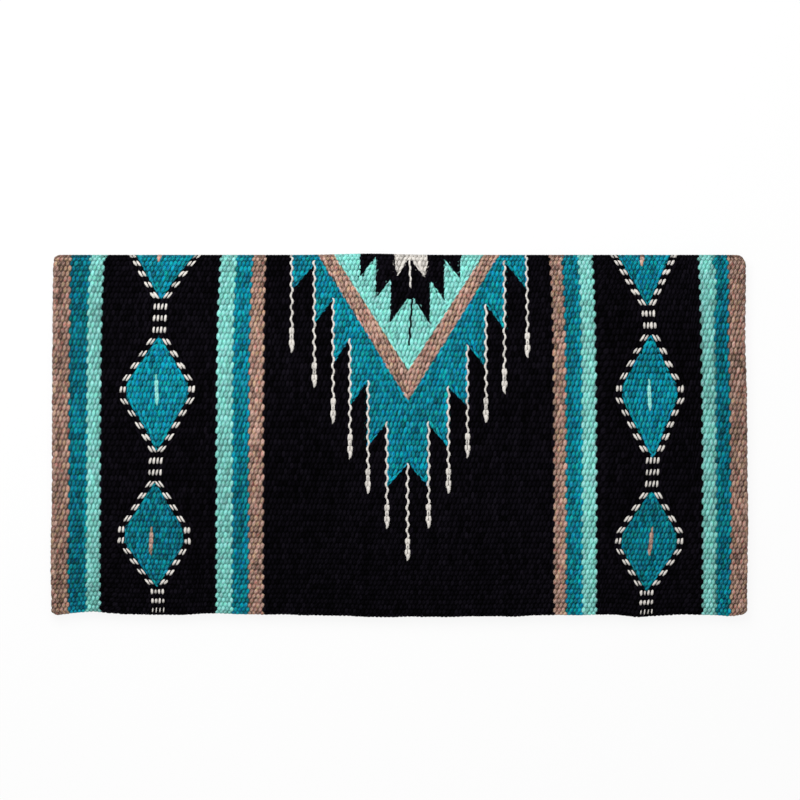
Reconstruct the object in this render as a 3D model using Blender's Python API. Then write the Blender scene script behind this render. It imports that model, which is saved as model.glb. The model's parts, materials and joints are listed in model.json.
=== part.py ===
"""A folded wool saddle blanket, tapestry woven.

The blanket is folded in half along the horse's spine and lies on its off side, with the pattern of
the near side up. X runs along the spine, +Y points to the spine fold and +Z is up. The origin is on
the surface it lies on, under the middle of the blanket.

Every colour area of a tapestry weave has its own length of weft yarn, and both faces show it. Each
area is therefore a piece of its own, as thick as the cloth, and it interlocks with its neighbours.
"""

import bmesh
import bpy
from mathutils import Vector

# The cloth as it is folded, in metres. Its length is the sum of the stripes below.
FOLDED_DROP = 0.452
CLOTH_THICKNESS = 0.008
LAYER_GAP = 0.0006
YARN_CLEARANCE = 0.0003
CORNER_RADIUS = 0.010
SELVEDGE_ROUND = 0.0034
CROWN_ROUND = 0.0070
CUT_OVERRUN = 0.012

# Stripe widths at the left end, from the end of the blanket inwards.
LEFT_END_TAUPE_WIDTH = 0.0215
LEFT_END_TEAL_WIDTH = 0.0233
LEFT_END_AQUA_WIDTH = 0.0184
LEFT_PANEL_WIDTH = 0.1451
LEFT_INNER_AQUA_WIDTH = 0.0196
LEFT_INNER_TEAL_WIDTH = 0.0204
LEFT_INNER_TAUPE_WIDTH = 0.0181

# Stripe widths at the right end, from the end of the blanket inwards.
RIGHT_END_TAUPE_WIDTH = 0.0206
RIGHT_END_TEAL_WIDTH = 0.0175
RIGHT_END_AQUA_WIDTH = 0.0194
RIGHT_PANEL_WIDTH = 0.1320
RIGHT_INNER_AQUA_WIDTH = 0.0181
RIGHT_INNER_TEAL_WIDTH = 0.0188
RIGHT_INNER_TAUPE_WIDTH = 0.0175

# The chain of diamonds down each panel. An offset is from the middle of the panel.
BEADED_STRAND_WIDTH = 0.0098
LEFT_DIAMOND_HALF_WIDTH = 0.0395
RIGHT_DIAMOND_HALF_WIDTH = 0.0360
DIAMOND_FLAT_LENGTH = 0.0185
LEFT_CHAIN_FOLD_OFFSET = 0.0008
LEFT_CHAIN_HEM_OFFSET = -0.0090
RIGHT_CHAIN_FOLD_OFFSET = -0.0050
RIGHT_CHAIN_HEM_OFFSET = 0.0010

# Where the diamonds end and where they are widest, as shares of the drop from fold to hem.
LEFT_FOLD_APEX_SHARE = 0.123
LEFT_UPPER_SHARES = (0.226, 0.378, 0.533)
LEFT_LOWER_SHARES = (0.641, 0.777, 0.921)
RIGHT_FOLD_APEX_SHARE = 0.134
RIGHT_UPPER_SHARES = (0.234, 0.383, 0.553)
RIGHT_LOWER_SHARES = (0.652, 0.791, 0.929)
FOLD_DIAMOND_WIDTH_SHARE = 0.93

# The medallion on the fold, from its middle outwards along the fold and down from the fold: the
# space inside the chevron, the chevron band, the serrated ground and the plain field beside it.
CHEVRON_INNER_HALF_WIDTH = 0.0940
CHEVRON_INNER_DEPTH = 0.1458
CHEVRON_BAND_WIDTH = 0.0198
CHEVRON_BAND_DEPTH = 0.0382
GROUND_BEYOND_CHEVRON = 0.0338
GROUND_BELOW_CHEVRON = 0.0768
FIELD_BESIDE_MEDALLION = 0.03225

# The teeth, from the left end of the medallion to its right end: how far along its half width each
# stands, and how far down its depth its notch and its tip lie, all as shares. The middle has no tip.
LEFT_TOOTH_SHARES = (
    (-0.989, 0.000, 0.176),
    (-0.797, 0.050, 0.331),
    (-0.636, 0.216, 0.525),
    (-0.494, 0.405, 0.727),
    (-0.350, 0.610, 0.928),
    (-0.181, 0.803, 1.115),
)
RIGHT_TOOTH_SHARES = (
    (0.172, 0.813, 1.115),
    (0.341, 0.638, 0.930),
    (0.503, 0.429, 0.731),
    (0.658, 0.240, 0.544),
    (0.816, 0.040, 0.357),
    (1.010, 0.000, 0.168),
)

# The feather inside the chevron, as shares of the chevron's inner half width and inner depth.
FEATHER_EDGE_SHARES = (
    (-0.640, 0.202),
    (-0.427, 0.026),
    (-0.436, 0.386),
    (-0.232, 0.219),
    (-0.245, 0.594),
    (-0.004, 0.373),
    (0.008, 0.785),
    (0.040, 0.785),
    (0.068, 0.373),
    (0.287, 0.597),
    (0.296, 0.223),
    (0.483, 0.391),
    (0.483, 0.039),
    (0.687, 0.202),
)
FEATHER_FOLD_SHARES = (-0.647, 0.700)
CORE_EDGE_SHARES = (
    (-0.173, 0.120),
    (-0.139, 0.189),
    (-0.012, 0.052),
    (-0.006, 0.300),
    (0.040, 0.300),
    (0.040, 0.056),
    (0.227, 0.197),
    (0.253, 0.077),
)
CORE_FOLD_SHARES = (-0.187, 0.260)

CORNER_SEGMENTS = 6
CROWN_SEGMENTS = 6
SELVEDGE_SEGMENTS = 3

# Wool colours as linear red, green and blue.
TAUPE = (0.27, 0.17, 0.13)
TEAL = (0.004, 0.17, 0.24)
AQUA = (0.20, 0.56, 0.50)
BLACK = (0.004, 0.004, 0.006)
WHITE = (0.80, 0.76, 0.72)
WOOL_ROUGHNESS = 0.9

CHEVRON_OUTER_HALF_WIDTH = CHEVRON_INNER_HALF_WIDTH + CHEVRON_BAND_WIDTH
CHEVRON_OUTER_DEPTH = CHEVRON_INNER_DEPTH + CHEVRON_BAND_DEPTH
MEDALLION_HALF_WIDTH = CHEVRON_OUTER_HALF_WIDTH + GROUND_BEYOND_CHEVRON
MEDALLION_DEPTH = CHEVRON_OUTER_DEPTH + GROUND_BELOW_CHEVRON
LEFT_END_WIDTH = LEFT_END_TAUPE_WIDTH + LEFT_END_TEAL_WIDTH + LEFT_END_AQUA_WIDTH
LEFT_INNER_WIDTH = LEFT_INNER_AQUA_WIDTH + LEFT_INNER_TEAL_WIDTH + LEFT_INNER_TAUPE_WIDTH
RIGHT_INNER_WIDTH = RIGHT_INNER_TAUPE_WIDTH + RIGHT_INNER_TEAL_WIDTH + RIGHT_INNER_AQUA_WIDTH
RIGHT_END_WIDTH = RIGHT_END_AQUA_WIDTH + RIGHT_END_TEAL_WIDTH + RIGHT_END_TAUPE_WIDTH
CENTRE_FIELD_WIDTH = 2 * (MEDALLION_HALF_WIDTH + FIELD_BESIDE_MEDALLION)
LEFT_WIDTH = LEFT_END_WIDTH + LEFT_PANEL_WIDTH + LEFT_INNER_WIDTH
RIGHT_WIDTH = RIGHT_END_WIDTH + RIGHT_PANEL_WIDTH + RIGHT_INNER_WIDTH
BLANKET_LENGTH = LEFT_WIDTH + CENTRE_FIELD_WIDTH + RIGHT_WIDTH

CROWN_Y = FOLDED_DROP / 2
HEM_Y = -FOLDED_DROP / 2
MIDDLE_Z = CLOTH_THICKNESS + LAYER_GAP / 2
FOLD_AXIS = Vector((0, CROWN_Y + LAYER_GAP / 2, MIDDLE_Z))
HALF_LENGTH = BLANKET_LENGTH / 2
PAST_CROWN = CROWN_Y + CUT_OVERRUN
PAST_HEM = HEM_Y - CUT_OVERRUN


def clear_scene():
    for old in list(bpy.data.objects):
        bpy.data.objects.remove(old, do_unlink=True)


def new_collection(name):
    collection = bpy.data.collections.new(name)
    bpy.context.scene.collection.children.link(collection)
    return collection


def wool(name, colour):
    material = bpy.data.materials.new(name)
    material.use_nodes = True
    shader = material.node_tree.nodes["Principled BSDF"]
    shader.inputs["Base Color"].default_value = (*colour, 1)
    shader.inputs["Roughness"].default_value = WOOL_ROUGHNESS
    shader.inputs["Metallic"].default_value = 0
    return material


def inset(points, distance):
    """Moves each side of a counterclockwise outline inwards, or outwards where distance is negative."""
    moved = []
    for index, point in enumerate(points):
        corner = Vector(point)
        before = (corner - Vector(points[index - 1])).normalized()
        after = (Vector(points[(index + 1) % len(points)]) - corner).normalized()
        inward = Vector((-before.y, before.x)) + Vector((-after.y, after.x))
        moved.append(corner + inward * (distance / (1 + before.dot(after))))
    return moved


def half_width_line(apex, end, y):
    """The x at height y on the straight line from a motif's apex through its end on the fold."""
    return apex[0] + (end[0] - apex[0]) * (y - apex[1]) / (end[1] - apex[1])


def prism(outlines, low, high):
    """A mesh of flat outlines, filled between two heights. Outlines after the first are holes."""
    curve = bpy.data.curves.new("outline", "CURVE")
    curve.dimensions = "2D"
    curve.fill_mode = "BOTH"
    curve.extrude = (high - low) / 2
    for points in outlines:
        spline = curve.splines.new("POLY")
        spline.points.add(len(points) - 1)
        for place, point in zip(spline.points, points):
            place.co = (point[0], point[1], 0, 1)
        spline.use_cyclic_u = True
    guide = bpy.data.objects.new("outline", curve)
    bpy.context.scene.collection.objects.link(guide)
    bpy.context.view_layer.update()
    graph = bpy.context.evaluated_depsgraph_get()
    mesh = bpy.data.meshes.new_from_object(guide.evaluated_get(graph))
    bpy.data.objects.remove(guide, do_unlink=True)
    shape = bmesh.new()
    shape.from_mesh(mesh)
    bmesh.ops.remove_doubles(shape, verts=shape.verts, dist=YARN_CLEARANCE / 10)
    bmesh.ops.recalc_face_normals(shape, faces=shape.faces)
    bmesh.ops.translate(shape, verts=shape.verts, vec=(0, 0, (low + high) / 2))
    shape.to_mesh(mesh)
    shape.free()
    return mesh


def bevelled(shape, edges, width, segments):
    bmesh.ops.bevel(
        shape,
        geom=edges,
        offset=width,
        offset_type="OFFSET",
        segments=segments,
        profile=0.5,
        affect="EDGES",
        clamp_overlap=True,
        material=-1,
    )


def layer_mesh(outer_up):
    """One half of the folded cloth: square where it lies on the other half, round at its crown, its
    hem and its ends."""
    low = MIDDLE_Z + LAYER_GAP / 2 if outer_up else 0
    outer_z = low + CLOTH_THICKNESS if outer_up else low
    shape = bmesh.new()
    bmesh.ops.create_cube(shape, size=1)
    bmesh.ops.scale(shape, verts=shape.verts, vec=(BLANKET_LENGTH, FOLDED_DROP, CLOTH_THICKNESS))
    bmesh.ops.translate(shape, verts=shape.verts, vec=(0, 0, low + CLOTH_THICKNESS / 2))
    near = YARN_CLEARANCE

    def at(edge, axis, value):
        return all(abs(vert.co[axis] - value) < near for vert in edge.verts)

    corners = [
        edge
        for edge in shape.edges
        if at(edge, 1, HEM_Y) and (at(edge, 0, HALF_LENGTH) or at(edge, 0, -HALF_LENGTH))
    ]
    bevelled(shape, corners, CORNER_RADIUS, CORNER_SEGMENTS)
    crown = [edge for edge in shape.edges if at(edge, 1, CROWN_Y) and at(edge, 2, outer_z)]
    bevelled(shape, crown, CROWN_ROUND, CROWN_SEGMENTS)
    flat_z = (low, low + CLOTH_THICKNESS)
    rim = [
        edge
        for edge in shape.edges
        if any(at(edge, 2, z) for z in flat_z)
        and not at(edge, 1, CROWN_Y)
        and not at(edge, 1, CROWN_Y - CROWN_ROUND)
    ]
    ends = [
        edge
        for edge in shape.edges
        if edge not in rim
        and (at(edge, 0, HALF_LENGTH) or at(edge, 0, -HALF_LENGTH))
        and min(vert.co.y for vert in edge.verts) > CROWN_Y - CROWN_ROUND - near
        and not (at(edge, 1, CROWN_Y) and at(edge, 2, outer_z))
    ]
    bevelled(shape, rim + ends, SELVEDGE_ROUND, SELVEDGE_SEGMENTS)
    mesh = bpy.data.meshes.new("cloth layer")
    shape.to_mesh(mesh)
    shape.free()
    return mesh


def block(left, right):
    """The outline of a stripe between two places along the spine."""
    return [(left, PAST_HEM), (right, PAST_HEM), (right, PAST_CROWN), (left, PAST_CROWN)]


class Chain:
    """The run of diamonds down one panel, with its beaded strand on either side."""

    def __init__(self, middle, fold_offset, hem_offset, half_width, fold_apex, upper, lower):
        self.fold_x = middle + fold_offset
        self.hem_x = middle + hem_offset
        self.half_width = half_width
        self.fold_apex = fold_apex
        self.diamond_shares = (upper, lower)

    def place(self, share, sideways=0):
        x = self.fold_x + (self.hem_x - self.fold_x) * share + sideways
        return (x, CROWN_Y - FOLDED_DROP * share)

    def diamond(self, shares):
        """The outline of a whole diamond, counterclockwise from its upper apex."""
        top, widest, bottom = shares
        flat = DIAMOND_FLAT_LENGTH / FOLDED_DROP / 2
        return [
            self.place(top),
            self.place(widest - flat, -self.half_width),
            self.place(widest + flat, -self.half_width),
            self.place(bottom),
            self.place(widest + flat, self.half_width),
            self.place(widest - flat, self.half_width),
        ]

    def fold_ends(self):
        """Where the half diamond on the fold would reach past the crown, left and right."""
        apex = self.place(self.fold_apex)
        half = self.half_width * FOLD_DIAMOND_WIDTH_SHARE
        return [
            (half_width_line(apex, self.place(0, side * half), PAST_CROWN), PAST_CROWN)
            for side in (-1, 1)
        ]

    def fold_diamond(self):
        left, right = self.fold_ends()
        return [left, self.place(self.fold_apex), right]

    def side(self, sign):
        """The outer edge of the beaded strand on one side, from past the crown to past the hem."""
        strand = sign * BEADED_STRAND_WIDTH
        end = self.fold_ends()[0 if sign < 0 else 1]
        points = [(end[0] + strand, PAST_CROWN), self.place(self.fold_apex, strand)]
        flat = DIAMOND_FLAT_LENGTH / FOLDED_DROP / 2
        for top, widest, bottom in self.diamond_shares:
            wide = strand + sign * self.half_width
            points.append(self.place(top, strand))
            points.append(self.place(widest - flat, wide))
            points.append(self.place(widest + flat, wide))
            points.append(self.place(bottom, strand))
        hem = self.place(1, strand)
        return [*points, (hem[0], PAST_HEM)]

    def strands(self):
        """The outline of the beaded chain, then its two holes."""
        left, right = self.fold_ends()
        outer = self.side(-1) + self.side(1)[::-1]
        outer += [right, self.place(self.fold_apex), left]
        return [outer, *[self.diamond(shares) for shares in self.diamond_shares]]


def panel_pieces(name, left, right, chain):
    """The pieces of one dark panel: what lies left and right of its chain, the chain and its diamonds."""
    outline, *holes = chain.strands()
    upper, lower = (chain.diamond(shares) for shares in chain.diamond_shares)
    left_side = [(left, PAST_CROWN), (left, PAST_HEM), *chain.side(-1)[::-1]]
    right_side = [(right, PAST_HEM), (right, PAST_CROWN), *chain.side(1)]
    on_the_left, on_the_right = ("outer", "inner") if name == "left" else ("inner", "outer")
    return [
        (f"{name}_panel_{on_the_left}", [left_side], "black wool"),
        (f"{name}_panel_{on_the_right}", [right_side], "black wool"),
        (f"{name}_beaded_chain", [outline, *holes], "white wool"),
        (f"{name}_fold_diamond", [chain.fold_diamond()], "teal wool"),
        (f"{name}_upper_diamond", [upper], "teal wool"),
        (f"{name}_lower_diamond", [lower], "teal wool"),
    ]


def stripe_pieces(name, start, widths_and_wools):
    """Stripes side by side, from one place along the spine to the right."""
    pieces = []
    for part, width, colour in widths_and_wools:
        pieces.append((f"{name}_{part}", [block(start, start + width)], colour))
        start += width
    return pieces


def medallion_pieces(axis, left, right):
    """The centre field and, set into it from the fold, the serrated ground, the chevron band, the
    aqua ground, the feather and the white core."""
    half_width, depth = MEDALLION_HALF_WIDTH, MEDALLION_DEPTH

    def place(share_x, share_y, wide, deep):
        return (axis + share_x * wide, CROWN_Y - share_y * deep)

    teeth = [(place(LEFT_TOOTH_SHARES[0][0], 0, half_width, depth)[0], PAST_CROWN)]
    for index, (along, notch, tip) in enumerate(LEFT_TOOTH_SHARES):
        if index:
            teeth.append(place(along, notch, half_width, depth))
        teeth.append(place(along, tip, half_width, depth))
    teeth.append(place(0, 1, half_width, depth))
    for index, (along, notch, tip) in enumerate(RIGHT_TOOTH_SHARES):
        teeth.append(place(along, tip, half_width, depth))
        if index < len(RIGHT_TOOTH_SHARES) - 1:
            teeth.append(place(along, notch, half_width, depth))
    teeth.append((teeth[-1][0], PAST_CROWN))

    def chevron_edge(half, deep):
        apex = (axis, CROWN_Y - deep)
        x = [half_width_line(apex, (axis + side * half, CROWN_Y), PAST_CROWN) for side in (-1, 1)]
        return [(x[0], PAST_CROWN), apex, (x[1], PAST_CROWN)]

    def motif_edge(shares, fold_shares):
        wide, deep = CHEVRON_INNER_HALF_WIDTH, CHEVRON_INNER_DEPTH
        start, end = (axis + share * wide for share in fold_shares)
        inner = [place(*share, wide, deep) for share in shares]
        return [(start, PAST_CROWN), *inner, (end, PAST_CROWN)]

    outer = chevron_edge(CHEVRON_OUTER_HALF_WIDTH, CHEVRON_OUTER_DEPTH)
    inner = chevron_edge(CHEVRON_INNER_HALF_WIDTH, CHEVRON_INNER_DEPTH)
    feather = motif_edge(FEATHER_EDGE_SHARES, FEATHER_FOLD_SHARES)
    core = motif_edge(CORE_EDGE_SHARES, CORE_FOLD_SHARES)
    field = [(left, PAST_CROWN), (left, PAST_HEM), (right, PAST_HEM), (right, PAST_CROWN)]
    return [
        ("centre_field", [field + teeth[::-1]], "black wool"),
        ("serrated_ground", [teeth + outer[::-1]], "teal wool"),
        ("chevron_band", [outer + inner[::-1]], "taupe wool"),
        ("aqua_ground", [inner + feather[::-1]], "aqua wool"),
        ("feather", [feather + core[::-1]], "black wool"),
        ("white_core", [core], "white wool"),
    ]


def pattern():
    """(name, outlines, wool) of every colour area of one side, from the left end to the right end."""
    left_end = (
        ("end_taupe", LEFT_END_TAUPE_WIDTH, "taupe wool"),
        ("end_teal", LEFT_END_TEAL_WIDTH, "teal wool"),
        ("end_aqua", LEFT_END_AQUA_WIDTH, "aqua wool"),
    )
    left_inner = (
        ("inner_aqua", LEFT_INNER_AQUA_WIDTH, "aqua wool"),
        ("inner_teal", LEFT_INNER_TEAL_WIDTH, "teal wool"),
        ("inner_taupe", LEFT_INNER_TAUPE_WIDTH, "taupe wool"),
    )
    right_inner = (
        ("inner_taupe", RIGHT_INNER_TAUPE_WIDTH, "taupe wool"),
        ("inner_teal", RIGHT_INNER_TEAL_WIDTH, "teal wool"),
        ("inner_aqua", RIGHT_INNER_AQUA_WIDTH, "aqua wool"),
    )
    right_end = (
        ("end_aqua", RIGHT_END_AQUA_WIDTH, "aqua wool"),
        ("end_teal", RIGHT_END_TEAL_WIDTH, "teal wool"),
        ("end_taupe", RIGHT_END_TAUPE_WIDTH, "taupe wool"),
    )
    left_panel = -HALF_LENGTH + LEFT_END_WIDTH
    left_inner_start = left_panel + LEFT_PANEL_WIDTH
    field_left = left_inner_start + LEFT_INNER_WIDTH
    right_end_start = HALF_LENGTH - RIGHT_END_WIDTH
    right_panel = right_end_start - RIGHT_PANEL_WIDTH
    field_right = right_panel - RIGHT_INNER_WIDTH
    left_chain = Chain(
        left_panel + LEFT_PANEL_WIDTH / 2,
        LEFT_CHAIN_FOLD_OFFSET,
        LEFT_CHAIN_HEM_OFFSET,
        LEFT_DIAMOND_HALF_WIDTH,
        LEFT_FOLD_APEX_SHARE,
        LEFT_UPPER_SHARES,
        LEFT_LOWER_SHARES,
    )
    right_chain = Chain(
        right_panel + RIGHT_PANEL_WIDTH / 2,
        RIGHT_CHAIN_FOLD_OFFSET,
        RIGHT_CHAIN_HEM_OFFSET,
        RIGHT_DIAMOND_HALF_WIDTH,
        RIGHT_FOLD_APEX_SHARE,
        RIGHT_UPPER_SHARES,
        RIGHT_LOWER_SHARES,
    )
    return [
        *stripe_pieces("left", -HALF_LENGTH, left_end),
        *panel_pieces("left", left_panel, left_inner_start, left_chain),
        *stripe_pieces("left", left_inner_start, left_inner),
        *medallion_pieces((field_left + field_right) / 2, field_left, field_right),
        *stripe_pieces("right", field_right, right_inner),
        *panel_pieces("right", right_panel, right_end_start, right_chain),
        *stripe_pieces("right", right_end_start, right_end),
    ]


def past_the_ends(outlines):
    """Outlines that end where the blanket ends are drawn past it, so that the cloth layer ends them."""
    def pushed(x):
        if abs(x) < HALF_LENGTH - YARN_CLEARANCE:
            return x
        return x + CUT_OVERRUN if x > 0 else x - CUT_OVERRUN

    return [[(pushed(point[0]), point[1]) for point in points] for points in outlines]


def side_of_blanket(side, outer_up, centre, cloth, cutters, wools):
    """One half of the blanket, its pieces parented to an empty that turns about centre."""
    turning = bpy.data.objects.new(f"{side}_side", None)
    turning.location = centre
    turning.empty_display_size = CORNER_RADIUS
    cloth.objects.link(turning)
    layer = bpy.data.objects.new(f"{side} cloth layer", layer_mesh(outer_up))
    layer.hide_render = True
    layer.display_type = "WIRE"
    cutters.objects.link(layer)
    low = min(vert.co.z for vert in layer.data.vertices) - CUT_OVERRUN
    high = max(vert.co.z for vert in layer.data.vertices) + CUT_OVERRUN
    for name, outlines, colour in pattern():
        first, *holes = past_the_ends(outlines)
        half_gap = YARN_CLEARANCE / 2
        drawn = [inset(first, half_gap), *[inset(hole, -half_gap) for hole in holes]]
        piece = bpy.data.objects.new(f"{side}_{name}", prism(drawn, low, high))
        for vert in piece.data.vertices:
            vert.co -= centre
        piece.parent = turning
        piece.data.materials.clear()
        piece.data.materials.append(wools[colour])
        cut = piece.modifiers.new("cloth layer", "BOOLEAN")
        cut.operation = "INTERSECT"
        cut.solver = "EXACT"
        cut.object = layer
        cloth.objects.link(piece)


def main():
    clear_scene()
    cloth = new_collection("saddle blanket")
    cutters = new_collection("cutters")
    wools = {
        "taupe wool": wool("taupe wool", TAUPE),
        "teal wool": wool("teal wool", TEAL),
        "aqua wool": wool("aqua wool", AQUA),
        "black wool": wool("black wool", BLACK),
        "white wool": wool("white wool", WHITE),
    }
    side_of_blanket("off", False, Vector((0, 0, 0)), cloth, cutters, wools)
    side_of_blanket("near", True, FOLD_AXIS, cloth, cutters, wools)
    bpy.context.view_layer.update()


main()
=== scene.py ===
"""Saddle blanket: a heavy wool tapestry, folded along the spine, woven float by float.

A pick is one pass of weft from hem to hem, and a rib is one warp with the weft over it. Wherever a pick
passes over a warp it shows as a float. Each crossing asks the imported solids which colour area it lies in,
and its float is laid there in that area's wool.
"""

import json
import math
from typing import NamedTuple

import bmesh
import bpy
import numpy as np
from bpy.props import FloatProperty, FloatVectorProperty, IntProperty, PointerProperty
from mathutils import Matrix, Vector
from mathutils.bvhtree import BVHTree


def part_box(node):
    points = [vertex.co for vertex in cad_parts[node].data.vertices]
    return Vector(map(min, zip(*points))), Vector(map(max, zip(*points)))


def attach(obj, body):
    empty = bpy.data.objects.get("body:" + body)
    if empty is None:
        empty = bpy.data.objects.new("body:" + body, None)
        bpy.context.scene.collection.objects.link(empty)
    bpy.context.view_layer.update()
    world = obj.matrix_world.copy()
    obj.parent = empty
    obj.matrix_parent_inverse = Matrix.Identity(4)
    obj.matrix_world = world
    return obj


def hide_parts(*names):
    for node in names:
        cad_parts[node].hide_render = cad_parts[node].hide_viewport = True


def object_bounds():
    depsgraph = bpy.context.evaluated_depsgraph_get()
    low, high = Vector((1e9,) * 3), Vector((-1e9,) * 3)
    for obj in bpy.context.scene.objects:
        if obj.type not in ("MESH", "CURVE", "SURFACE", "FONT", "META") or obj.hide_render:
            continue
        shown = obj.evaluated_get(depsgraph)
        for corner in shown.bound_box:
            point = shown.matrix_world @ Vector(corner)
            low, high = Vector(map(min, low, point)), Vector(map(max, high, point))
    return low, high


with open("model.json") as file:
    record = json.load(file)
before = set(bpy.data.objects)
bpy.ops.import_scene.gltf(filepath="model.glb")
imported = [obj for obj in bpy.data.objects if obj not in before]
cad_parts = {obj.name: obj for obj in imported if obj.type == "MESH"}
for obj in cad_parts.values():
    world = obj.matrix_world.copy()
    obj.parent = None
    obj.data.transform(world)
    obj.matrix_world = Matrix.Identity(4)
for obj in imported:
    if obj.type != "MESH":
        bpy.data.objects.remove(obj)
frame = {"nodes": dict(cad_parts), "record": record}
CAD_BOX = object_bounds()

bl_info = {
    "name": "Saddle Blanket",
    "version": (1, 0, 0),
    "blender": (4, 5, 0),
    "location": "View3D > Sidebar > Blanket",
    "description": "Weaves a folded wool saddle blanket over its packed solids",
    "category": "Object",
}

SIDES = ("near", "off")
SLOTS = {part["node"]: part["material_slot"] for part in frame["record"]["subparts"]}
AREAS = tuple(node.removeprefix("near_") for node in SLOTS if node.startswith("near_"))
WOOLS = tuple(sorted(set(SLOTS.values())))


class Inlay(NamedTuple):
    """A kind of narrow inlay: its wool, and its lines as (place along the spine, start and end below the
    fold) in metres. A line swings from side to side and drifts to the right on its way down. Going up from
    its point it is doubled on some ribs, its two wefts spread apart."""

    slot: str
    lines: tuple
    half_width: float = 0.0016
    swing: float = 0.0005
    drift: float = 0
    spreads: tuple = ()


INLAYS = {
    "pin_lines": Inlay(
        "white_wool",
        (
            (-0.1347, 0, 0.1205), (-0.1063, 0.010, 0.1665), (-0.0829, 0.054, 0.2100),
            (-0.0617, 0.103, 0.2550), (-0.0391, 0.158, 0.2950), (-0.0154, 0.208, 0.3410),
            (0.0105, 0.258, 0.3830), (0.0367, 0.211, 0.3410), (0.0616, 0.164, 0.2985),
            (0.0854, 0.109, 0.2550), (0.1085, 0.059, 0.2125), (0.1317, 0.004, 0.1710),
            (0.1604, 0, 0.1250),
        ),
        half_width=0.0018,
        swing=0.0012,
        spreads=(0.0019, 0.0006, 0.0016),
    ),
    "taupe_dashes": Inlay(
        "taupe_wool",
        ((-0.3059, 0, 0.0110), (-0.3105, 0.342, 0.3760), (0.3038, 0, 0.0150), (0.3137, 0.339, 0.3760)),
        half_width=0.0017,
        drift=-0.0028,
        spreads=(0.0010, 0.0012, 0.0010),
    ),
    "aqua_dashes": Inlay(
        "aqua_wool",
        ((-0.3029, 0.150, 0.1880), (0.3084, 0.155, 0.1970)),
        half_width=0.0017,
        drift=0.0012,
        spreads=(0.0009, 0.0010, 0.0009),
    ),
    "core_line": Inlay("white_wool", ((0.0136, 0.005, 0.0430),), drift=0.0016),
    "feather_line": Inlay("black_wool", ((0.0142, 0.054, 0.1150),), drift=-0.0044),
}
# The solids have the last two kinds as strips, which belong to these areas and lie in these grounds. A strip
# is this wide to each side, and starts and ends this much lower than its inlay.
STRIPS = {"core_line": ("white_core", "feather"), "feather_line": ("feather", "aqua_ground")}
STRIP_HALF_WIDTH = 0.0042
STRIP_ENDS = (0.003, 0.004)
# Reach is half the length of a float as a share of its rib. Inlays begin at least the margin below their
# start and lie higher than the ground, and their lighter tint is a painted highlight. The ground is beaten
# down beside them for this many picks.
INLAY_REACH = 0.72
INLAY_MARGIN = 0.001
INLAY_PAINTED_LIGHT = 1.0
INLAY_RISE = 0.0004
INLAY_BED = 1.3
DOUBLED_WIDTH = 1.2
DOUBLED_BOW = 0.2
POINT_HALF_WIDTH = 0.0026
POINT_REACH = 0.92
POINT_TAPER = 0.7
BEAD_SPACING = 0.0046
BEAD_REACH = 0.69
BEAD_LEAN = 0.10
UPRIGHT_SLOPE = 0.2
BEAD_HALF_WIDTH = 0.0025
LINK_HALF_WIDTH = 0.0021
LAST_BEADS = 0.6

# Borders of the motifs wave this much from rib to rib, because a weft turns back on a whole warp. Floats
# this near a border lean along it, nearer still they may be cut by it, and points this near lie on it.
BORDER_WAVE = 0.0005
BORDER_REACH = 0.0035
BORDER_CUT = 0.0065
BORDER_PULL = 0.0006
STEEPEST_SLOPE = 0.75
# The solids' walls face upwards by less than this, and along x by more than that.
WALL_NORMAL = (0.3, 0.2)
# The floats at the ends of the picks stay this far inside the ends, and sink over this stretch.
END_MARGIN = 0.0011
END_STRETCH = 0.0045
# Heights of a float and of a turn round the hem as shares of half the cloth, and the share that is left of a
# float's height under an inlay.
FLOAT_HEIGHT = 0.95
TURN_HEIGHT = 0.96
BEATEN_HEIGHT = 0.85
# How unevenly floats are laid, as shares of their sizes, as slopes, and in metres.
UNEVEN_LENGTH = 0.05
UNEVEN_WIDTH = 0.05
UNEVEN_HEIGHT = 0.025
UNEVEN_LEAN = 0.06
UNEVEN_ALONG = 0.0002
UNEVEN_ACROSS = 0.00015
UNEVEN_YARN = 0.05
# The same for beads (length, width, lean), inlays (width, lean), turns round the hem (length in metres,
# width, height) and the cords at the ends (outwards, upwards).
UNEVEN_BEADS = (0.06, 0.08, 0.05)
UNEVEN_INLAYS = (0.06, 0.04)
UNEVEN_TURNS = (0.0003, 0.06, 0.04)
UNEVEN_CORDS = (0.08, 0.05)
# How much a float's chance and its pick's own dye change its tint, and how much painted shade darkens it
# low down, deep between the floats.
CHANCE_TINT = 0.19
PICK_TINT = 0.24
DEPTH_PAINTED_SHADE = 0.45
# Metres of yarn from one pick to the next, so that their fibres and plies never line up.
PICK_YARN = 0.731
# Room round each float in its cell of the map.
CELL_MARGIN = 0.08
# How far the turns of weft reach past the hem's round, and where the cords at the two ends lie inside them,
# their half sizes outwards and upwards and their reach along each rib.
HEM_LAP = 0.0022
CORD_INSET = 0.0030
CORD_SIZE = (0.0034, 0.0027)
CORD_REACH = 0.6
# The core of warps: its grid's spacing along x, how far it stays from the ends and from other lines, how far
# it passes the hem's flat part, and its thickness between two ribs and what each rib adds.
CORE_SPACING = 0.009
CORE_INSET = 0.004
CORE_GAP = 0.002
CORE_PASS = 0.001
CORE_THICKNESS = (0.0012, 0.0022)

# How far the hem and the two ends stray outwards from straight lines, as (place, reach, distance) in
# metres. The hem sags in its middle, and the ends are drawn in a little above theirs.
HEM_STRAYS = (
    (-0.384, 0.025, -0.0033), (-0.218, 0.038, -0.0015), (-0.014, 0.056, 0.0038), (0.101, 0.088, 0.0017),
    (0.222, 0.034, 0.0012), (0.302, 0.022, 0.0019), (0.415, 0.018, 0.0015),
)
LEFT_STRAYS = ((0.030, 0.300, -0.0010), (-0.156, 0.045, 0.0014))
RIGHT_STRAYS = ((0.125, 0.055, -0.0020), (-0.106, 0.045, 0.0010))
STRAY_FADE = 0.05
BOW_START = 0.36
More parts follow.
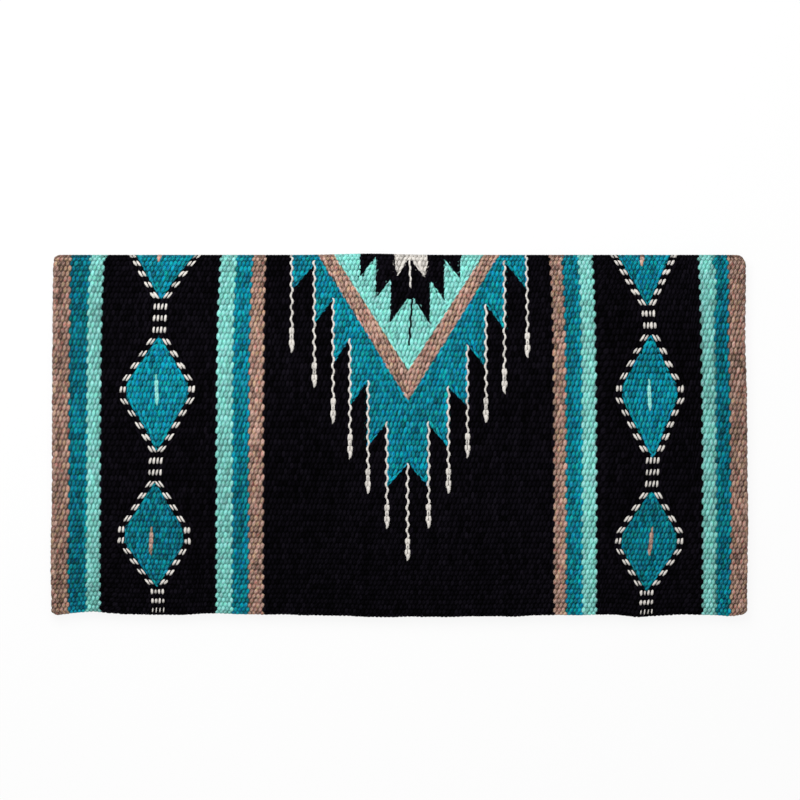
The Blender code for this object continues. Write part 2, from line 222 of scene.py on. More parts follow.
# Waves of the hem as (height, pace, start) and of the cloth as (height, pace along x and y, start).
HEM_WAVES = ((1, 31, 1.3), (0.6, 74, 0.4), (0.35, 163, 0))
RIPPLES = ((0.00045, 23, 17, 0), (0.0003, 51, -29, 2))
# Where the fold swells, as (place, reach), and how far below it the waves and the rise of ribs set in.
CROWN_BULGE = (-0.037, 0.05)
CROWN_FADE = 0.02
# The stripes draw in at the fold and flare by a share lower down. Along x this sets in over the draw span,
# and from the hold's start to the ends a share of it is held back.
DRAW_FADE = 0.075
DRAW_SPAN = (0.14, 0.19)
FLARE = 0.35
HOLD_START = 0.37
HOLD = 0.6
# Radii of the corners at the hem and at the fold, as shares of the corner radius.
LEFT_CORNERS = (0.75, 0.85)
RIGHT_CORNERS = (0.65, 1.30)
CORNER_SPAN = 0.03

# How far the ribs rise on the right, as (height, reach, distance), between these two places along x.
RIB_RISES = ((0.1465, 0.060, 0.0063),)
RISE_SPAN = (0.14, 0.28)


class Chain(NamedTuple):
    """How a beaded chain and its panel lie: the middle, how they stray to the right, by what share they are
    squeezed together, and how far below a place the solids have what is woven there. The last three are
    (place, reach, amount)."""

    middle: float
    strays: tuple
    squeezes: tuple
    drops: tuple


CHAINS = (
    Chain(
        -0.305,
        ((0.226, 0.025, 0.0010), (0.001, 0.030, 0.0022), (-0.226, 0.065, 0.0078)),
        ((-0.115, 0.040, 0.08), (0.060, 0.050, 0.03)),
        ((0.1705, 0.020, -0.0015), (-0.0150, 0.020, -0.0038), (-0.0632, 0.020, 0.0040)),
    ),
    Chain(
        0.309,
        ((0.100, 0.900, 0.0038), (0.125, 0.030, 0.0026), (-0.031, 0.035, 0.0024), (-0.226, 0.100, -0.0080)),
        ((-0.115, 0.050, 0.06), (0.060, 0.050, 0.06)),
        ((0.1678, 0.026, -0.0034), (0.1215, 0.026, 0.0056), (-0.0250, 0.030, -0.0050)),
    ),
)
CHAIN_REACH = 0.046
PANEL_REACH = 0.064

# Every area is woven from its own skein, a little lighter or darker than the others of its colour.
SKEINS = {
    "left_end_taupe": -0.08, "right_end_taupe": -0.06, "chevron_band": 0.12,
    "left_end_teal": -0.13, "right_end_teal": -0.07, "serrated_ground": 0.06,
    "left_upper_diamond": 0.10, "right_upper_diamond": 0.10,
    "left_lower_diamond": -0.14, "right_lower_diamond": -0.08,
    "right_end_aqua": -0.11, "aqua_ground": 0.10,
}


def linear(code):
    """A colour written as sRGB hex, as the linear red, green and blue that shaders want."""
    shares = [int(code[start : start + 2], 16) / 255 for start in (0, 2, 4)]
    return [share / 12.92 if share <= 0.04045 else ((share + 0.055) / 1.055) ** 2.4 for share in shares]


class ClothSizes(bpy.types.PropertyGroup):
    """Sizes of the weave and of how the cloth lies."""

    picks: IntProperty(name="Picks", description="Passes of weft from end to end", default=341, min=40)
    ribs: IntProperty(name="Ribs", description="Warps of the outer face", default=65, min=8)
    inner_ribs: IntProperty(name="Inner ribs", description="Warps of the inner face", default=62, min=8)
    crown_tightness: FloatProperty(
        name="Crown tightness", description="How much closer ribs lie there", default=0.135, min=0, max=0.5
    )
    crown_reach: FloatProperty(
        name="Crown reach", description="Ribs over which that tightness fades", default=8, min=1
    )
    hem_tightness: FloatProperty(
        name="Hem tightness", description="How much closer ribs lie there", default=0.22, min=0, max=0.5
    )
    hem_reach: FloatProperty(
        name="Hem reach", description="Ribs over which that tightness fades", default=14, min=1
    )
    float_reach: FloatProperty(
        name="Float length", description="Its half length in ribs", default=0.70, min=0.4, max=0.9
    )
    float_spread: FloatProperty(
        name="Float width", description="Its half width in picks", default=1.08, min=0.5, max=1.2
    )
    lean: FloatProperty(name="Lean", description="Sideways lean of every float", default=0.12)
    corner_radius: FloatProperty(
        name="Corner radius", description="Rounding of the corners", default=0.010, unit="LENGTH"
    )
    end_round: FloatProperty(
        name="End rounding", description="How far the end floats sink", default=0.0014, unit="LENGTH"
    )
    draw_in: FloatProperty(
        name="Draw-in", description="How far stripes draw in at the fold", default=0.0043, unit="LENGTH"
    )
    crown_bulge: FloatProperty(
        name="Crown bulge", description="How far the fold swells in one place", default=0.0016, unit="LENGTH"
    )
    hem_wander: FloatProperty(
        name="Hem wander", description="Height of its small waves", default=0.0005, unit="LENGTH"
    )
    straying: FloatProperty(
        name="Straying", description="Sag of the hem and bow of the ends, 1 as woven", default=1, min=0, max=2
    )


class WoolColours(bpy.types.PropertyGroup):
    """Mean colour of each wool."""

    taupe: FloatVectorProperty(
        name="Taupe", description="Heathered brown wool", subtype="COLOR", default=linear("a78b7f")
    )
    teal: FloatVectorProperty(
        name="Teal", description="Dyed teal wool", subtype="COLOR", default=linear("00879b")
    )
    aqua: FloatVectorProperty(
        name="Aqua", description="Dyed aqua wool", subtype="COLOR", default=linear("86d5cd")
    )
    black: FloatVectorProperty(
        name="Black", description="Dyed black wool", subtype="COLOR", default=linear("0a080d")
    )
    white: FloatVectorProperty(
        name="White", description="Scoured white wool", subtype="COLOR", default=linear("e0dbd4")
    )


class StageLevels(bpy.types.PropertyGroup):
    """Levels of the lamp and the room, and the floor's colour."""

    key: FloatProperty(name="Key", description="Power of the large soft lamp", default=23.2, unit="POWER")
    room: FloatProperty(name="Room", description="Light from all round", default=0.40, min=0)
    floor: FloatVectorProperty(
        name="Floor", description="Floor colour", subtype="COLOR", default=linear("ffffff")
    )


def add_node(tree, kind, inputs=None, **settings):
    """Adds a node with its settings. An input is given a value, or the output socket to link it to."""
    node = tree.nodes.new(kind)
    for key, value in settings.items():
        setattr(node, key, value)
    for key, value in (inputs or {}).items():
        if isinstance(value, bpy.types.NodeSocket):
            tree.links.new(value, node.inputs[key])
        else:
            node.inputs[key].default_value = value
    return node


def add_math(tree, operation, *values):
    """Adds a maths node and gives its result."""
    return add_node(tree, "ShaderNodeMath", dict(enumerate(values)), operation=operation).outputs[0]


def add_noise(tree, vector, spacing, detail, roughness=0.5):
    """Adds a noise with its features about one spacing apart."""
    inputs = {"Vector": vector, "Scale": 1 / spacing, "Detail": detail, "Roughness": roughness}
    return add_node(tree, "ShaderNodeTexNoise", inputs)


def add_range(tree, value, source, target):
    """Adds a node that turns one range of values into another, and gives its result."""
    names = ("From Min", "From Max", "To Min", "To Max")
    inputs = {"Value": value, **dict(zip(names, (*source, *target)))}
    return add_node(tree, "ShaderNodeMapRange", inputs).outputs["Result"]


# Weft of 3 to 4 mm has two plies that turn once in about 9 mm, so ply grooves cross a float every 4.5 mm.
PLY_SPACING = 0.0045
PLY_TURN = 2
TUFT_LENGTH = 0.0022
TUFTS_AROUND = 7
HEATHER_SPACING = 0.006
HEATHER_SPAN = (0.50, 0.64)
FADE_SPACING = 0.16
# How much its tint, its plies, its fibres and the slow change of the dye lighten a yarn, and the sums of all
# four that give its darkest and its lightest tone. The plies' share is painted shade in the grooves between
# them and painted highlight on their ridges; the tint holds painted shade deep between the floats.
TINT_WEIGHT = 0.85
PLY_PAINTED_SHADING = 0.90
FIBRE_WEIGHT = 0.80
FADE_WEIGHT = 0.36
TONE_SPAN = (0.66, 1.62)
ROUGHNESS_SPAN = (0.84, 0.98)
# How far fibres stand out against the plies.
FIBRE_RELIEF = 0.5

# What sets each wool apart. Shade and light are how dark and pale its tones get, and heather is other
# fibres, as (colour, share). The darkest tones carry painted shade, the palest painted highlight.
WOOL_LOOKS = {
    # Undyed wool of several fleeces: the eye sees brown with rosy and olive streaks.
    "taupe_wool": {"shade": 0.18, "light": 2, "heather": (("b86a62", 0.8), ("8c7a56", 0.6), ("b48f86", 0.6))},
    # Unevenly dyed wool: the eye sees teal with streaks of blue and sea green.
    "teal_wool": {"shade": 0.16, "light": 2, "heather": (("005c9a", 0.8), ("089d88", 0.7), ("2a7890", 0.5))},
    # Pale wool: the eye sees aqua, softly mottled with green and grey blue.
    "aqua_wool": {"shade": 0.40, "light": 1.52, "heather": (("6fd0b4", 0.7), ("a6dbdc", 0.7))},
    # Deep black wool: the eye sees almost no tone in it, only faint ribs.
    "black_wool": {"shade": 0.02, "light": 2.9, "bloom": 0, "gloss": 0.02},
    # Scoured wool: the eye sees a warm white with grey only between the plies, which is painted shade.
    "white_wool": {"shade": 0.42, "light": 1.15},
}


def wool_material(slot, colour, shade, light, heather=(), bloom=0.03, gloss=0.08):
    """Carded wool yarn, two plies, packed tight: matt, with a soft bloom of loose fibres and each length
    of yarn a little lighter or darker than the next. A heathered yarn also has streaks of up to three
    other fibres. Its tone also has painted shade deep between the floats and in the ply grooves, and painted
    highlight on the ply ridges. That gives the eye a grainy, never flat colour."""
    material = bpy.data.materials.new(slot.replace("_", " "))
    material.use_nodes = True
    tree = material.node_tree
    shader = tree.nodes["Principled BSDF"]
    yarn = add_node(tree, "ShaderNodeAttribute", attribute_name="yarn")
    parts = add_node(tree, "ShaderNodeSeparateXYZ", {"Vector": yarn.outputs["Vector"]})
    along, around, tint = (parts.outputs[axis] for axis in "XYZ")
    place = add_node(tree, "ShaderNodeTexCoord").outputs["Object"]
    fade = add_noise(tree, place, FADE_SPACING, 2).outputs["Fac"]
    lengths = add_math(tree, "MULTIPLY", along, 1 / TUFT_LENGTH)
    rounds = add_math(tree, "MULTIPLY", around, TUFTS_AROUND)
    strand = add_node(tree, "ShaderNodeCombineXYZ", {"X": lengths, "Y": rounds}).outputs["Vector"]
    fibres = add_noise(tree, strand, 1, 4, 0.65).outputs["Fac"]
    twist = add_math(tree, "MULTIPLY", around, PLY_TURN)
    turn = add_math(tree, "MULTIPLY_ADD", along, 1 / PLY_SPACING, twist)
    ply = add_math(tree, "PINGPONG", turn, 0.5)
    tone = add_math(tree, "MULTIPLY", tint, TINT_WEIGHT)
    # The plies darken and lighten the tone: painted shade in their grooves, painted highlight on their ridges.
    for part, weight in ((ply, PLY_PAINTED_SHADING), (fibres, FIBRE_WEIGHT), (fade, FADE_WEIGHT)):
        tone = add_math(tree, "MULTIPLY_ADD", part, weight, tone)
    ramp = add_node(tree, "ShaderNodeValToRGB", {"Fac": add_range(tree, tone, TONE_SPAN, (0, 1))})
    stops = ramp.color_ramp.elements
    stops.new(0.5)
    for stop, strength in zip(stops, (shade, 1, light)):
        stop.color = (*(min(value * strength, 1) for value in colour), 1)
    tinted = ramp.outputs["Color"]
    flecks = add_noise(tree, strand, HEATHER_SPACING / TUFT_LENGTH, 2)
    fleck = add_node(tree, "ShaderNodeSeparateColor", {"Color": flecks.outputs["Color"]})
    for (code, most), channel in zip(heather, ("Red", "Green", "Blue")):
        share = add_range(tree, fleck.outputs[channel], HEATHER_SPAN, (0, most))
        inputs = {"Factor": share, "A": tinted, "B": (*linear(code), 1)}
        mix = add_node(tree, "ShaderNodeMix", inputs, data_type="RGBA", blend_type="COLOR")
        tinted = mix.outputs["Result"]
    relief = add_math(tree, "MULTIPLY_ADD", fibres, FIBRE_RELIEF, ply)
    bump = add_node(tree, "ShaderNodeBump", {"Strength": 0.7, "Distance": 0.0006, "Height": relief})
    tree.links.new(tinted, shader.inputs["Base Color"])
    tree.links.new(bump.outputs["Normal"], shader.inputs["Normal"])
    tree.links.new(add_range(tree, fibres, (0, 1), ROUGHNESS_SPAN), shader.inputs["Roughness"])
    shader.inputs["Sheen Weight"].default_value = bloom
    shader.inputs["Sheen Roughness"].default_value = 0.5
    shader.inputs["Specular IOR Level"].default_value = gloss
    return material


def wool(slot):
    """The wool of one of the record's slots, made when it is first asked for."""
    made = bpy.data.materials.get(slot.replace("_", " "))
    colour = getattr(bpy.context.scene.blanket_colours, slot.removesuffix("_wool"))
    return made or wool_material(slot, colour, **WOOL_LOOKS[slot])


class FloatShape:
    """One float of weft, made once and copied: a bead drawn out along the yarn and arched over its warp.
    Its length, width and height are 1, to be scaled where it is laid."""

    flatness = 0.62
    drop = 1.2

    def __init__(self, around, along, arch, fullness=0.85):
        shape = bmesh.new()
        wrap = shape.loops.layers.uv.new("wrap")
        bmesh.ops.create_uvsphere(shape, u_segments=around, v_segments=along, radius=1, calc_uvs=True)
        turned = Matrix.Rotation(math.pi / 2, 3, "Y")
        bmesh.ops.rotate(shape, verts=shape.verts, cent=(0, 0, 0), matrix=turned)
        self.around = np.array([math.atan2(vert.co.y, vert.co.z) / math.pi for vert in shape.verts])
        for vert in shape.verts:
            girth = math.hypot(vert.co.y, vert.co.z)
            if girth > 0.01:
                vert.co.yz = vert.co.yz * girth ** (fullness - 1)
        bmesh.ops.scale(shape, verts=shape.verts, vec=(1, 1, self.flatness))
        for vert in shape.verts:
            vert.co.z += (1 - self.flatness) * (1 - self.drop * abs(vert.co.x) ** arch)
        shape.verts.index_update()
        self.points = np.array([vert.co[:] for vert in shape.verts])
        self.axes = [self.points[:, axis][None, :] for axis in range(3)]
        faces = [[(loop.vert.index, *loop[wrap].uv) for loop in face.loops] for face in shape.faces]
        shape.free()
        self.starts = np.cumsum([0] + [len(face) for face in faces[:-1]])
        self.corners = np.array([corner for face in faces for corner in face])
        self.mirrored = np.array([corner for face in faces for corner in face[::-1]])


OUTER_FLOAT = FloatShape(6, 5, 2.2)
CUT_FLOAT = FloatShape(8, 7, 2.2)
INNER_FLOAT = FloatShape(4, 4, 2.2)
HEM_TURN = FloatShape(6, 7, 6.0)
BEAD = FloatShape(6, 8, 4.0, 1.6)
STRAND = FloatShape(6, 7, 3.0, 0.75)
POINT = FloatShape(6, 8, 6.0, 1.1)


def smooth_step(value, low, high):
    """0 up to the low value, 1 from the high one, and a soft rise between them."""
    share = np.clip((value - low) / (high - low), 0, 1)
    return share * share * (3 - 2 * share)


def stray(strays, at):
    """The sum of some soft bumps, as (place, reach, amount)."""
    return sum(out * np.exp(-(((at - place) / reach) ** 2)) for place, reach, out in strays)


def throws(seed, shape):
    """Fixed random numbers from -2 to 2, most of them close to 0."""
    return np.random.default_rng(seed).normal(0, 1, shape).clip(-2, 2)


def as_columns(rows):
    """Rows of rib and other numbers as one array for each column."""
    rib, *others = (np.array(column) for column in zip(*rows))
    return rib.astype(int), *others


class Loom:
    """One side of the folded cloth: where its floats lie and which area each of them belongs to."""

    def __init__(self, side, sizes):
        self.side = side
        self.sizes = sizes
        self.sign = 1 if side == "near" else -1
        self.parity = SIDES.index(side)
        boxes = {name: [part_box(node) for node in SLOTS if node.startswith(name)] for name in SIDES}
        low = min(box[0].z for box in boxes["near"])
        high = max(box[1].z for box in boxes["off"])
        self.middle_z = (low + high) / 2
        self.half_gap = (low - high) / 2
        self.thickness = max(box[1].z for box in boxes["near"]) - low
        self.crown_y = max(box[1].y for box in boxes[side])
        self.hem_y = min(box[0].y for box in boxes[side])
        self.half_length = max(box[1].x for box in boxes[side])
        self.fold_radius = self.thickness + self.half_gap
        self.hem_radius = self.thickness / 2
        self.cloth_z = self.middle_z + self.sign * self.fold_radius / 2
        self.arc = self.fold_radius * math.pi / 2
        self.flat = self.crown_y - self.fold_radius - self.hem_y - self.hem_radius
        self.turn = self.hem_radius * math.pi
        inner = self.crown_y + self.half_gap - self.hem_y - self.hem_radius
        self.path_end = self.arc + self.flat + self.turn + inner
        order = np.arange(sizes.ribs)
        tight = 1 - sizes.crown_tightness * np.exp(-((order / sizes.crown_reach) ** 2))
        tight -= sizes.hem_tightness * np.exp(-(((order - order[-1]) / sizes.hem_reach) ** 2))
        self.rib_widths = tight * (self.arc + self.flat) / tight.sum()
        self.outer_ribs = np.cumsum(self.rib_widths) - self.rib_widths / 2
        inner_width = inner / sizes.inner_ribs
        self.inner_widths = np.full(sizes.inner_ribs, inner_width)
        self.inner_ribs = self.path_end - inner_width * (np.arange(sizes.inner_ribs) + 0.5)
        self.inner_ribs_first = 1 if sizes.ribs > sizes.inner_ribs else 0
        self.rib_depths = self.crown_y - self.path(self.outer_ribs)[0]
        self.pick_width = 2 * (self.half_length - END_MARGIN) / sizes.picks
        self.picks = -self.half_length + END_MARGIN + self.pick_width * (np.arange(sizes.picks) + 0.5)
        self.read_areas()

    def path(self, s):
        """y, height over the inner face and the outward direction, s metres round the cloth from the fold."""
        fold_y = self.crown_y - self.fold_radius
        hem_y = self.hem_y + self.hem_radius
        first, second, third = self.arc, self.arc + self.flat, self.arc + self.flat + self.turn
        bend = s / self.fold_radius
        hem = (s - second) / self.hem_radius
        where = [s < first, s < second, s < third]
        nothing = np.zeros_like(s)
        out_y = np.select(where, [np.cos(bend), nothing, -np.sin(hem)], nothing)
        out_up = np.select(where, [np.sin(bend), nothing + 1, np.cos(hem)], nothing - 1)
        fold, turn = self.fold_radius, self.hem_radius
        ys = [fold_y + fold * np.cos(bend), fold_y - (s - first), hem_y - turn * np.sin(hem)]
        y = np.select(where, ys, hem_y + (s - third))
        ups = [fold * np.sin(bend) - self.half_gap, nothing + self.thickness, turn * (1 + np.cos(hem))]
        up = np.select(where, ups, nothing)
        return y, up, out_y, out_up

    def read_areas(self):
        """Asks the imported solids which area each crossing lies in, and which way the nearest border runs."""
        points, faces, owners = [], [], []
        for index, area in enumerate(AREAS):
            mesh = frame["nodes"][f"{self.side}_{area}"].data
            motif = not any(word in area for word in ("_end_", "_inner", "_panel_", "field"))
            first = len(points)
            points += [vert.co.copy() for vert in mesh.vertices]
            for face in mesh.polygons:
                faces.append([first + corner for corner in face.vertices])
                wall = abs(face.normal.z) < WALL_NORMAL[0] and abs(face.normal.x) > WALL_NORMAL[1]
                owners.append((index, wall and motif, wall))
        self.owners = [owner[0] for owner in owners]
        slots = ["black_wool" if area.endswith("chain") else SLOTS[f"{self.side}_{area}"] for area in AREAS]
        self.ground_wools = [WOOLS.index(slot) for slot in slots]
        self.whole = BVHTree.FromPolygons(points, faces)
        self.walls = BVHTree.FromPolygons(points, [face for face, owner in zip(faces, owners) if owner[1]])
        self.outlines = {}
        for index, area in enumerate(AREAS):
            if area.endswith("beaded_chain"):
                own = [face for face, owner in zip(faces, owners) if owner[0] == index and owner[2]]
                self.outlines[index] = BVHTree.FromPolygons(points, own)
        self.areas, self.slopes, self.beside, self.under = {}, {}, {}, {}
        for face_name in ("outer", "inner"):
            rib, pick = np.indices((len(self.ribs_of(face_name)[0]), len(self.picks)))
            heights = self.path(self.rib_places(face_name, rib, self.picks[pick]))[0]
            found = np.zeros(rib.shape, int)
            slopes = np.zeros(found.shape)
            beside = np.zeros(found.shape, bool)
            for at in np.ndindex(found.shape):
                x, y = self.picks[at[1]], heights[at]
                found[at] = self.owner(x, y)
                slope, far = self.border_slope(self.walls, x, y)
                slopes[at] = slope * math.exp(-((far / BORDER_REACH) ** 2))
                beside[at] = far < BORDER_CUT
            self.areas[face_name] = found
            self.slopes[face_name] = slopes
            self.beside[face_name] = beside
            self.under[face_name] = self.below_inlays(heights)
        self.find_cut()

    def rise(self, x, y):
        """How far the ribs rise above their even places."""
        below = self.crown_y - y
        return stray(RIB_RISES, y) * smooth_step(x, *RISE_SPAN) * smooth_step(below, 0, CROWN_FADE)

    def rib_places(self, face, rib, x):
        """Where ribs lie at some places along x, in metres round the cloth."""
        ribs = self.ribs_of(face)[0][rib]
        rise = self.rise(x, self.path(ribs)[0])
        return ribs - rise if face == "outer" else ribs + rise

    def wave(self, x, y):
        """How far the borders wave along x at one place."""
        depth = self.crown_y - y + self.rise(x, y)
        rib = np.interp(depth, self.rib_depths, range(len(self.rib_depths)))
        return BORDER_WAVE * math.sin(2 * math.pi * rib)

    def planned(self, x, y):
        """The height at which the solids have what is woven at a place."""
        for chain in CHAINS:
            if abs(x - chain.middle) < PANEL_REACH:
                return y - stray(chain.drops, y)
        return y

    def owner(self, x, y):
        """The area under a place. The narrow strips of the solids count as the ground that they lie in."""
        outside = self.middle_z + self.sign * 4 * self.thickness
        seat = Vector((x + self.wave(x, y), self.planned(x, y), outside))
        hit = self.whole.ray_cast(seat, Vector((0, 0, -self.sign)))[2]
        if hit is None:
            hit = self.whole.find_nearest(seat)[2]
        found = self.owners[hit]
        for name, (strip, ground) in STRIPS.items():
            if AREAS[found] == strip:
                for middle, start, end in INLAYS[name].lines:
                    inside = start + STRIP_ENDS[0] < self.crown_y - y < end + STRIP_ENDS[1]
                    if inside and abs(x - middle) < STRIP_HALF_WIDTH:
                        return AREAS.index(ground)
        return found

    def border_slope(self, walls, x, y):
        """How the nearest of some borders runs, in x for each y, and how far away it is."""
        _, normal, _, far = walls.find_nearest(Vector((x, self.planned(x, y), self.cloth_z)))
        return max(-STEEPEST_SLOPE, min(STEEPEST_SLOPE, -normal.y / normal.x)), far

    def on_border(self, x, y):
        """Puts the places that lie close to the border of a motif on it."""
        x, y = x.copy(), y.copy()
        for at in np.ndindex(x.shape):
            wave, planned = self.wave(x[at], y[at]), self.planned(x[at], y[at])
            place, _, _, far = self.walls.find_nearest(Vector((x[at] + wave, planned, self.cloth_z)))
            if far < BORDER_PULL:
                x[at], y[at] = place.x - wave, place.y + y[at] - planned
        return x, y

    def wools_under(self, shape, x, y):
        """The wool of the area under each face of some floats."""
        sides = np.diff(np.append(shape.starts, len(shape.corners)))
        corners = shape.corners[:, 0].astype(int)
        x, y = (np.add.reduceat(each[:, corners], shape.starts, axis=1) / sides for each in (x, y))
        wools = np.empty(x.shape, int)
        for at in np.ndindex(x.shape):
            wools[at] = self.ground_wools[self.owner(x[at], y[at])]
        return wools

    def settle(self, x, y):
        """Moves what is laid by how the cloth really lies: stripes drawn in at the fold, chains astray,
        corners round, the hem and ribs a little wavy."""
        sizes = self.sizes
        below = self.crown_y - y
        drawn = -FLARE + (1 + FLARE) * np.exp(-np.maximum(below, 0) / DRAW_FADE)
        reach = np.abs(x)
        held = 1 - HOLD * smooth_step(reach, HOLD_START, self.half_length)
        moved_x = x - np.sign(x) * sizes.draw_in * drawn * (smooth_step(reach, *DRAW_SPAN) * held)
        for chain in CHAINS:
            aside = x - chain.middle
            inside = 1 - smooth_step(np.abs(aside), CHAIN_REACH, PANEL_REACH)
            moved_x = moved_x + inside * (stray(chain.strays, y) - aside * stray(chain.squeezes, y))
        bow = np.where(x < 0, stray(LEFT_STRAYS, y), stray(RIGHT_STRAYS, y)) * sizes.straying
        moved_x = moved_x + np.sign(x) * bow * smooth_step(reach, BOW_START, self.half_length)
        for distance, left, right in zip((y - self.hem_y, below), LEFT_CORNERS, RIGHT_CORNERS):
            radius = sizes.corner_radius * np.where(x < 0, left, right)
            inside = np.clip(radius - distance, 0, radius)
            cut = radius - np.sqrt(radius**2 - inside**2)
            near_end = smooth_step(reach, self.half_length - CORNER_SPAN, self.half_length)
            moved_x = moved_x - np.sign(x) * cut * near_end
        wander = sum(height * np.sin(x * pace + start) for height, pace, start in HEM_WAVES)
        sag = sizes.straying * stray(HEM_STRAYS, x) - sizes.hem_wander * wander
        hem = -sag * np.exp(-np.maximum(y - self.hem_y, 0) / STRAY_FADE)
        swell = stray([(*CROWN_BULGE, sizes.crown_bulge)], x) * np.exp(-np.maximum(below, 0) / STRAY_FADE)
        ripple = sum(height * np.sin(x * by_x + y * by_y + start) for height, by_x, by_y, start in RIPPLES)
        return moved_x, y + hem + swell + ripple * smooth_step(below, 0, CROWN_FADE)

    def bent(self, s, x, lift):
        """y, and the height over the inner face, of points s metres round the cloth, lift above its face."""
        past_end = np.clip((np.abs(x) - self.half_length + END_STRETCH) / END_STRETCH, 0, 1)
        sunk = self.sizes.end_round * past_end**2
        y, up, out_y, out_up = self.path(s)
        y = y + out_y * (lift - sunk)
        up = up + out_up * (lift - sunk)
        from_fold = np.hypot(y - self.crown_y + self.fold_radius, up + self.half_gap)
        past = (y > self.crown_y - self.fold_radius) & (from_fold > self.fold_radius)
        back = np.where(past, self.fold_radius / np.maximum(from_fold, 1e-6), 1)
        y = self.crown_y - self.fold_radius + (y - self.crown_y + self.fold_radius) * back
        up = (up + self.half_gap) * back - self.half_gap
        return y, up

    def world(self, x, y, up):
        """World places of bent points."""
        z = self.middle_z + self.sign * (self.half_gap + up)
        return np.stack([*self.settle(x, y), z], axis=-1)

    def placed(self, s, x, lift):
        """World places of points s metres round the cloth, at x, and lift above its face."""
        return self.world(x, *self.bent(s, x, lift))

    def chances(self, seed, shape):
        """Fixed random numbers for the floats of one face: six for each crossing."""
        return throws(1000 * (self.parity + 1) + seed, (6, *shape))

    def ribs_of(self, face):
        """Where the ribs of a face lie, in metres round the cloth, and their widths."""
        return (self.outer_ribs, self.rib_widths) if face == "outer" else (self.inner_ribs, self.inner_widths)

    def over(self, face):
        """The crossings where the weft passes over the warp on this face."""
        shows = 0 if face == "outer" else 1 + self.inner_ribs_first
        grid = np.add.outer(np.arange(len(self.ribs_of(face)[0])), np.arange(len(self.picks)))
        return (grid + self.parity + shows) % 2 == 0

    def below_inlays(self, heights):
        """The crossings that lie under a narrow inlay, where the ground is beaten down."""
        under = np.zeros(heights.shape, bool)
        depth = self.crown_y - heights
        for inlay in INLAYS.values():
            for x, start, end in inlay.lines:
                near = np.abs(self.picks - x) < INLAY_BED * self.pick_width
                under |= (depth >= start) & (depth <= end) & near
        return under

    def find_cut(self):
        """Finds the outer floats that lie across the border of a motif."""
        rib, pick = np.nonzero(self.over("outer") & self.beside["outer"])
        along, x, lift = self.float_points(CUT_FLOAT, "outer", rib, pick)[:3]
        y = self.bent(along, x, lift)[0]
        seen = np.array([[self.ground_wools[self.owner(*at)] for at in zip(*row)] for row in zip(x, y)])
        across = (seen != seen[:, :1]).any(axis=1)
        self.cut = np.zeros(self.areas["outer"].shape, bool)
        self.cut[rib[across], pick[across]] = True

    def float_points(self, shape, face, rib, pick):
        """Where the points of the floats of some crossings lie: metres round the cloth, x and lift."""
        ribs, widths = self.ribs_of(face)
        dice = self.chances(1 if face == "outer" else 2, (len(ribs), len(self.picks)))[:, rib, pick]
        slub = 1 + UNEVEN_YARN * throws(77, len(self.picks))[pick]
        length = widths[rib] * self.sizes.float_reach * (1 + UNEVEN_LENGTH * dice[0])
        width = self.pick_width * self.sizes.float_spread * (1 + UNEVEN_WIDTH * dice[1]) * slub
        height = self.thickness / 2 * (FLOAT_HEIGHT + UNEVEN_HEIGHT * dice[2])
        height = height * np.where(self.under[face][rib, pick], BEATEN_HEIGHT, 1)
        slope = self.slopes[face][rib, pick]
        lean = slope + (self.sizes.lean + UNEVEN_LEAN * dice[3]) * (1 - np.abs(slope))
        centre = self.picks[pick] + UNEVEN_ACROSS * dice[5]
        at = self.rib_places(face, rib, self.picks[pick]) + UNEVEN_ALONG * dice[4]
        points = self.laid(shape, face, at, centre, length, width, height, lean)
        return *points, 0.5 * (dice[5] + dice[0])

    def laid(self, shape, face, at, centre, length, width, height, lean, bend=0, taper=0):
        """The points of float shapes, as metres round the cloth, x and lift above its face."""
        heading = -1 if face == "outer" else 1
        u, v, w = shape.axes
        along = at[:, None] + u * length[:, None]
        across = v * (1 + heading * taper * u) * width[:, None]
        x = centre[:, None] + across + heading * lean[:, None] * u * length[:, None]
        x = x + np.broadcast_to(bend, len(at))[:, None] * u**2
        return along, x, w * height[:, None] - self.thickness / 2

    def floats(self, face, index):
        """Lays the floats of one area on one face. One that lies across the border of a motif changes its
        wool there, as two wefts do that meet round one warp."""
        own = self.over(face) & (self.areas[face] == index)
        sorts = [(INNER_FLOAT, own)]
        if face == "outer":
            sorts = [(CUT_FLOAT, own & self.cut), (OUTER_FLOAT, own & ~self.cut)]
        batches = []
        for shape, chosen in sorts:
            rib, pick = np.nonzero(chosen)
            along, x, lift, chance = self.float_points(shape, face, rib, pick)
            y, up = self.bent(along, x, lift)
            wools = self.ground_wools[index]
            if shape is CUT_FLOAT:
                x, y = self.on_border(x, y)
                wools = self.wools_under(shape, x, y)
            chance = chance + SKEINS.get(AREAS[index], 0) / CHANCE_TINT
            batches.append(self.batch(shape, self.world(x, y, up), along, pick, chance, wools))
        return batches

    def strands(self, index, y):
        """Where the strands of a chain start and end along x at one height."""
        spans, entered, start = [], None, -2 * self.half_length
        while True:
            seat = Vector((start, y, self.cloth_z))
            place, normal, _, _ = self.outlines[index].ray_cast(seat, Vector((1, 0, 0)))
            if place is None:
                return spans
            if normal.x < 0:
                entered = place.x
            elif entered is not None:
                spans.append((entered, place.x))
                entered = None
            start = place.x + 1e-5

